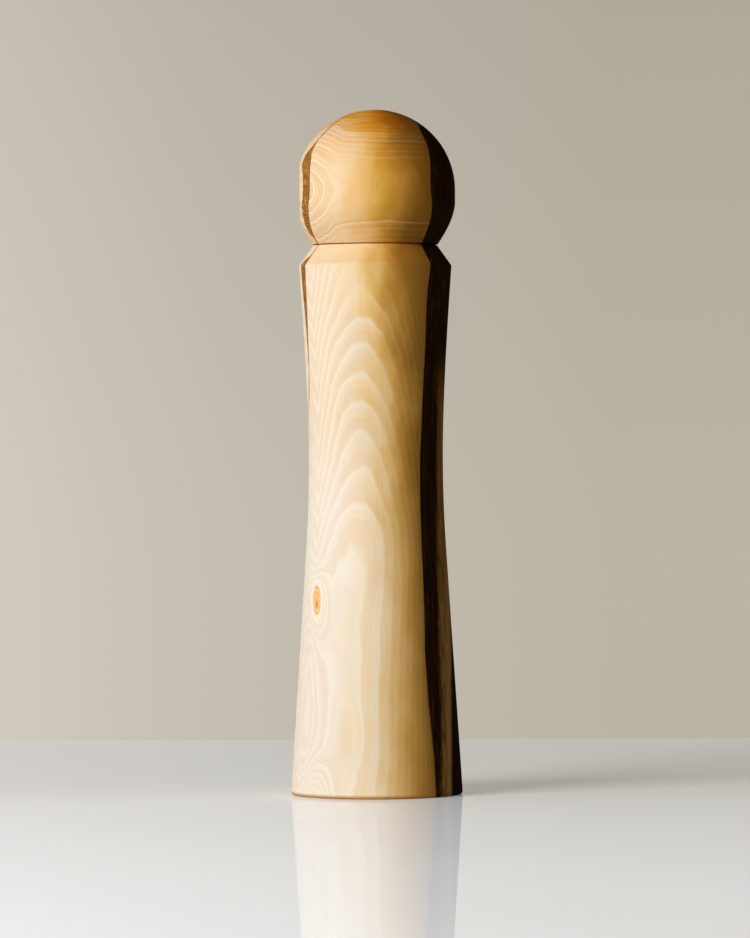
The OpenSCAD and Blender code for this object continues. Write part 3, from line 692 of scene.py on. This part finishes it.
def woodMaterial(name, wood, isBody):
    look, colours = woodLook, woodColours
    material, tree, shader, place = newMaterial(name)
    x, y, z = separated(tree, place)
    azimuth = azimuthOf(tree, x, y)
    side = (x / (x * x + y * y + 0.01).math("SQRT")).math("ARCSINE") * (180 / math.pi)   # the same behind
    behind = y.ramp(*look["behind"])
    grain = placed(tree, fibres, Place=place)
    streak = grain["Streak"] - 0.5
    wander, ripple, cloud = [grainNoise(tree, x, y, z, kind) - 0.5 for kind in ("wander", "ripple", "cloud")]

    # growth rings, and how plainly they show
    show = side.along(wood["ringShow"])
    if isBody:
        count = bodyRings(x, y, z, azimuth)
        smoky = z.ramp(*wood["smokyHeights"]) * side.ramp(*wood["smokySides"])
        show = show * (1 - smoky * wood["smoky"]) + behind * wood["backRings"]
    else:
        distance = headDistance(z, azimuth)
        count = distance.along(wood["rings"])
        plain = (distance.bump(*wood["upperRing"]) * z.ramp(*wood["upperRingFrom"])
                 + distance.bump(*wood["lowerRing"]) * (1 - z.ramp(*wood["lowerRingTo"])))
        strong = 1 - side.ramp(*wood["strongSides"])
        show = show * (strong + plain * wood["plainRings"] + wood["faintRings"])
    count = count + wander * wood["wander"] + ripple * wood["ripple"]
    ring = placed(tree, growthRing, Rings=count, Line=wood["lineWidth"])

    # cream on the left, gold in the middle, honey beside the heartwood: partly the wood's own tone, partly
    # painted shade on the side turned away from the key light
    lowTone, highTone = look["cloudTone"]
    tone = side - z.along(wood["goldAt"]) + streak * look["streakTone"]
    tone = tone + cloud * (z.ramp(*look["cloudHeights"]) * (highTone - lowTone) + lowTone)
    tone = tone + (ring["Deep"] - ring["Pale"]) * show * look["ringTone"]
    colour = toneRamp(tree, tone, colours["bodyTonesAndShade" if isBody else "headTonesAndShade"])
    if isBody:
        palest = colourMix(tree, tone.ramp(*wood["palestTurns"]), colours["palest"], colours["warmPale"])
        lowDown = (1 - z.ramp(*wood["palestEnds"])) * (1 - tone.ramp(*wood["palestTones"]))
        colour = colourMix(tree, lowDown * (1 - behind * wood["palestBehind"]), colour, palest)
    colour = colourMix(tree, ring["Deep"] * show * look["deepRings"], colour, colours["deepRing"], "MULTIPLY")
    colour = colourMix(tree, ring["Pale"] * show * wood["paleRings"], colour, colours["paleRing"])
    colour = colourMix(tree, ring["Fine"] * show * wood["fineRings"], colour, colours["deepRing"], "MULTIPLY")
    fibre = (streak * 2.0 + 0.5).clamped() * look["fibreShade"]
    fibre = fibre + (1 - streak.ramp(-0.12, 0.0)) * cloud.ramp(-0.1, 0.15) * look["cloudShade"]
    colour = colourMix(tree, fibre, colour, colours["deepRing"], "MULTIPLY")

    # knot and painted shade of the foot's rounded edge on the body; end grain with painted shade on the upward
    # faces of shoulder and head
    if isBody:
        colour = withKnot(tree, colour, x, y, z, streak)
        # painted shade on the foot's rounded edge, where it turns under towards the floor
        rim = 1 - z.ramp(*wood["footRimShade"])
        colour = colourMix(tree, rim * wood["footRimShadeDepth"], colour, colours["footRimShade"])
        endGrainShade = z.along(wood["endGrainAndShade"])
    else:
        atOnce, slowly, faint = wood["endStrengths"]
        upper = z.ramp(wood["centre"], wood["centre"] + wood["endRise"])
        endGrainShade = distance.ramp(*wood["endFrom"]) * atOnce + distance.ramp(*wood["endDeepens"]) * slowly
        endGrainShade = endGrainShade * upper + distance.ramp(*wood["endFaint"]) * faint
    # end grain, deepened by painted shade on faces turned upwards
    layers = grainNoise(tree, x, y, z, "layers")
    endGrainShade = endGrainShade * (layers.ramp(0.3, 0.7) * 0.6 + 0.8)
    colour = colourMix(tree, endGrainShade.clamped(), colour, colours["endGrainAndShade"], "MULTIPLY")

    # dark heartwood on the right
    fromEdge = azimuth - z.along(wood["heartEdge"])
    halfReach = look["heartReach"] / 2
    inside = halfReach - (fromEdge - halfReach).math("ABSOLUTE") + streak * look["heartStray"]
    soft = look["heartSoft"]
    if isBody:
        soft = soft + (1 - z.ramp(*wood["softFoot"])) * wood["softMore"]
    heart = inside.ramp(0.0, soft)
    amber = (1 - (fromEdge - look["amberAt"]).math("ABSOLUTE").ramp(*look["amberWidth"])) * look["amber"]
    colour = colourMix(tree, amber, colour, colours["amberLine"])
    vein = grainNoise(tree, x, y, z, "vein")
    veins = vein.ramp(*look["veinPatches"]) * look["veins"]
    heartColour = colourMix(tree, veins, colours["heartwood"], colours["heartStreak"])
    if isBody:
        heartColour = heartFigure(tree, heartColour, x, z, streak, vein)
    heartColour = colourMix(tree, grain["Pores"] * look["pores"], heartColour, colours["heartwood"])
    colour = colourMix(tree, heart, colour, heartColour)

    # glued joint on the left, open and rough where the turned form is widest
    jag = grainNoise(tree, x, y, z, "jag") - 0.5
    leftEdge = z.along(wood["jointLeft"])
    rightEdge = z.along(wood["jointRight"])
    inJoint = (azimuth - leftEdge + jag).ramp(*look["jointEdge"])
    inJoint = inJoint * (rightEdge - azimuth + jag * 0.5).ramp(*look["jointEdge"])
    if isBody:
        inJoint = inJoint * z.ramp(*wood["jointFrom"])
    wide = (rightEdge - leftEdge).ramp(*look["jointOpens"])
    rough = grainNoise(tree, x, y, z, "rough")
    patches = rough.ramp(*look["jointPatches"])
    roughColour = colourMix(tree, patches, colours["roughBark"], colours["roughFibre"])
    jointColour = colourMix(tree, wide, colours["jointLine"], roughColour)
    shaded = (1 - (rightEdge - azimuth).ramp(*look["jointShade"])) * wide
    jointColour = colourMix(tree, shaded, jointColour, colours["heartStreak"])
    colour = colourMix(tree, inJoint, colour, jointColour)

    tree.links.new(colour.socket, shader.inputs["Base Color"])
    roughness = streak * look["roughStreaks"] + inJoint * wide * look["roughJoint"] + look["roughness"]
    tree.links.new(roughness.socket, shader.inputs["Roughness"])
    height = ring["Deep"] * -0.2 + grain["Pores"] * -0.8 + grain["Streak"] * 0.6
    height = height - inJoint * (rough * wide * 4.0 + 0.8)
    setBump(tree, shader, height, look["bump"], look["bumpDepth"])
    shader.inputs["Specular IOR Level"].default_value = 0.0      # the coat alone gives the sheen
    coat = (1 - heart) * look["coat"] + look["heartCoat"]
    tree.links.new(coat.socket, shader.inputs["Coat Weight"])
    shader.inputs["Coat Roughness"].default_value = look["coatRoughness"]
    return material


turnedBody(woodMaterial("bodyWood", bodyWood, True))
turnedHead(woodMaterial("headWood", headWood, False))
print("wood turned")

finishes = {
    "ceramic": {"colour": linear(240, 238, 230), "roughness": 0.32,
                "metal": 0.0, "grain": 2.0, "bump": 0.03},
    "dark_plastic": {"colour": linear(38, 38, 40), "roughness": 0.5,
                     "metal": 0.0, "grain": 4.0, "bump": 0.05},
    "pale_plastic": {"colour": linear(226, 222, 208), "roughness": 0.42,
                     "metal": 0.0, "grain": 4.0, "bump": 0.04},
    "shaft_aluminium": {"colour": linear(214, 216, 218), "roughness": 0.36,
                        "metal": 1.0, "grain": 3.0, "bump": 0.04},
    "steel": {"colour": linear(188, 188, 186), "roughness": 0.3,
              "metal": 1.0, "grain": 3.0, "bump": 0.03},
    "brass": {"colour": linear(212, 172, 96), "roughness": 0.3,
              "metal": 1.0, "grain": 3.0, "bump": 0.03},
}
finishSpread = {"shade": 0.78, "roughness": 0.2, "bump": 0.4}     # the same on every finish


def finishMaterial(name, look):
    material, tree, shader, place = newMaterial(name)
    surface = placed(tree, surfaceGrain, Place=place, Size=look["grain"])
    darker = tuple(c * finishSpread["shade"] for c in look["colour"])
    colour = colourMix(tree, surface["Cloud"].ramp(0.35, 0.7), darker, look["colour"])
    tree.links.new(colour.socket, shader.inputs["Base Color"])
    roughness = (surface["Grain"] - 0.5) * finishSpread["roughness"] + look["roughness"]
    tree.links.new(roughness.socket, shader.inputs["Roughness"])
    shader.inputs["Metallic"].default_value = look["metal"]
    setBump(tree, shader, surface["Grain"], finishSpread["bump"], look["bump"] * mm)
    return material


materials = {slot: finishMaterial(slot, look) for slot, look in finishes.items()}
for row in frame["record"]["subparts"]:
    slot = row["material_slot"]
    if slot in materials:
        node = frame["nodes"][row["node"]]
        node.data.materials.clear()
        node.data.materials.append(materials[slot])
print("mechanism finished")

stageLook = {
    "floor": linear(236, 239, 243),
    "floorEdge": 0.35,
    "floorRoughness": 0.01,
    "floorSheen": 0.013,
    # by depth (m)
    "floorGlow": [(-0.55, 0.245), (-0.27, 0.215), (-0.06, 0.17), (0.02, 0.12), (0.11, 0.112),
                  (0.35, 0.13)],
    "floorGlowColour": (0.945, 0.96, 0.97),
    "leftGlow": 0.016,            # added on the left, and gone between these places (mm)
    "leftGlowEnds": (-150, 60),
    "wall": linear(80, 78, 74),
    "wallRoughness": 0.9,
    "patches": 0.05,              # how much slow patches darken floor and wall
    "wallDepth": 2.6,
    "halfWidth": 4.0,
    "wallGlow": [(-380, linear(210, 203, 194)), (-257, linear(202, 195, 184)), (-121, linear(193, 187, 174)),
                 (121, linear(187, 180, 165)), (194, linear(184, 177, 160)), (380, linear(184, 177, 160))],
    "wallShade": [(-110, 1.0), (29, 1.0), (239, 0.95), (449, 0.88), (644, 0.8)],   # by height (mm)
    "room": linear(196, 190, 178),
    "roomFill": 0.06,             # how much of the room's light falls on the mill
}


def stagePlane(name, corners, colour, roughness, gloss, glowFor):
    bm = bmesh.new()
    bm.faces.new([bm.verts.new(corner) for corner in corners])
    material, tree, shader, place = newMaterial(name)
    patch = noise(tree, place, 0.004, 2.0, 0.5)
    tone = colourMix(tree, patch.ramp(0.3, 0.7) * stageLook["patches"], colour, (0, 0, 0))
    tree.links.new(tone.socket, shader.inputs["Base Color"])
    shader.inputs["Roughness"].default_value = roughness
    shader.inputs["Specular IOR Level"].default_value = gloss
    # only the camera and reflections see the glow, and the plane can be looked through from behind
    path = tree.nodes.new("ShaderNodeLightPath")
    facing = tree.nodes.new("ShaderNodeNewGeometry")
    seen = Wire(tree, path.outputs["Is Camera Ray"]) + Wire(tree, path.outputs["Is Glossy Ray"])
    glow, glowColour = glowFor(tree, separated(tree, place))
    emitted = colourMix(tree, seen.clamped() * glow, (0, 0, 0), glowColour)
    tree.links.new(emitted.socket, shader.inputs["Emission Color"])
    shader.inputs["Emission Strength"].default_value = 1.0
    tree.links.new((1 - Wire(tree, facing.outputs["Backfacing"])).socket, shader.inputs["Alpha"])
    plane = finished(bm, name, material)
    return plane


def floorGlow(tree, axes):
    leftward = (1 - axes[0].ramp(*stageLook["leftGlowEnds"])) * stageLook["leftGlow"]
    return (axes[1] * mm).along(stageLook["floorGlow"]) + leftward, stageLook["floorGlowColour"]


def wallGlow(tree, axes):
    return axes[2].along(stageLook["wallShade"]), toneRamp(tree, axes[0], stageLook["wallGlow"])


half = stageLook["halfWidth"]
back = stageLook["floorEdge"]
far = stageLook["wallDepth"]
stagePlane("floor", [(-half, -half, 0), (half, -half, 0), (half, back, 0), (-half, back, 0)],
           stageLook["floor"], stageLook["floorRoughness"], stageLook["floorSheen"], floorGlow)
stagePlane("wall", [(-half, far, -2), (half, far, -2), (half, far, 4), (-half, far, 4)],
           stageLook["wall"], stageLook["wallRoughness"], 0.0, wallGlow)

lightColour = (1.0, 0.99, 0.97)
lightTarget = (0, 0, 0.125)
lights = {
    "keyLight": {"place": (-1.29, -1.26, 0.98), "size": (1.15, 0.95), "power": 41},
    "backLight": {"place": (-1.0, 1.7, 0.75), "size": (2.0, 1.0), "power": 6.5},
}


def areaLight(name, place, size, power):
    data = bpy.data.lights.new(name, "AREA")
    data.shape = "RECTANGLE"
    data.size, data.size_y = size
    data.energy = power
    data.color = lightColour
    light = bpy.data.objects.new(name, data)
    light.location = place
    light.rotation_euler = (Vector(lightTarget) - Vector(place)).to_track_quat("-Z", "Y").to_euler()
    bpy.context.scene.collection.objects.link(light)
    return light


areaLight("keyLight", **lights["keyLight"])
backLight = areaLight("backLight", **lights["backLight"])
backLight.visible_camera = False
backLight.visible_glossy = False

world = bpy.data.worlds.new("softRoom")
world.use_nodes = True
worldTree = world.node_tree
worldPath = worldTree.nodes.new("ShaderNodeLightPath")
roomSeen = Wire(worldTree, worldPath.outputs["Is Camera Ray"])
roomSeen = roomSeen + Wire(worldTree, worldPath.outputs["Is Glossy Ray"])
worldShader = worldTree.nodes["Background"]
feed(worldTree, worldShader.inputs[0], (*stageLook["room"], 1))
roomFill = stageLook["roomFill"]
feed(worldTree, worldShader.inputs[1], roomSeen.clamped() * (1 - roomFill) + roomFill)
bpy.context.scene.world = world
bpy.context.scene.view_settings.view_transform = "Standard"

viewpoint = {
    "distance": 2.0,
    "eyeHeight": 0.1338,
    "sideways": -0.00033,
    "aimHeight": 0.1188,
    "lens": 210.0,
    "sensor": 36,
    "clipStart": 0.05,
    "lean": 0.21,                 # degrees
}
cameraData = bpy.data.cameras.new("camera")
cameraData.lens = viewpoint["lens"]
cameraData.sensor_width = viewpoint["sensor"]
cameraData.clip_start = viewpoint["clipStart"]
camera = bpy.data.objects.new("camera", cameraData)
camera.location = (viewpoint["sideways"], -viewpoint["distance"], viewpoint["eyeHeight"])
aim = Vector((viewpoint["sideways"], 0, viewpoint["aimHeight"])) - camera.location
camera.rotation_mode = "QUATERNION"
camera.rotation_quaternion = aim.to_track_quat("-Z", "Y") @ Matrix.Rotation(
    math.radians(-viewpoint["lean"]), 3, "Z").to_quaternion()
bpy.context.scene.collection.objects.link(camera)
bpy.context.scene.camera = camera
print("stage set")
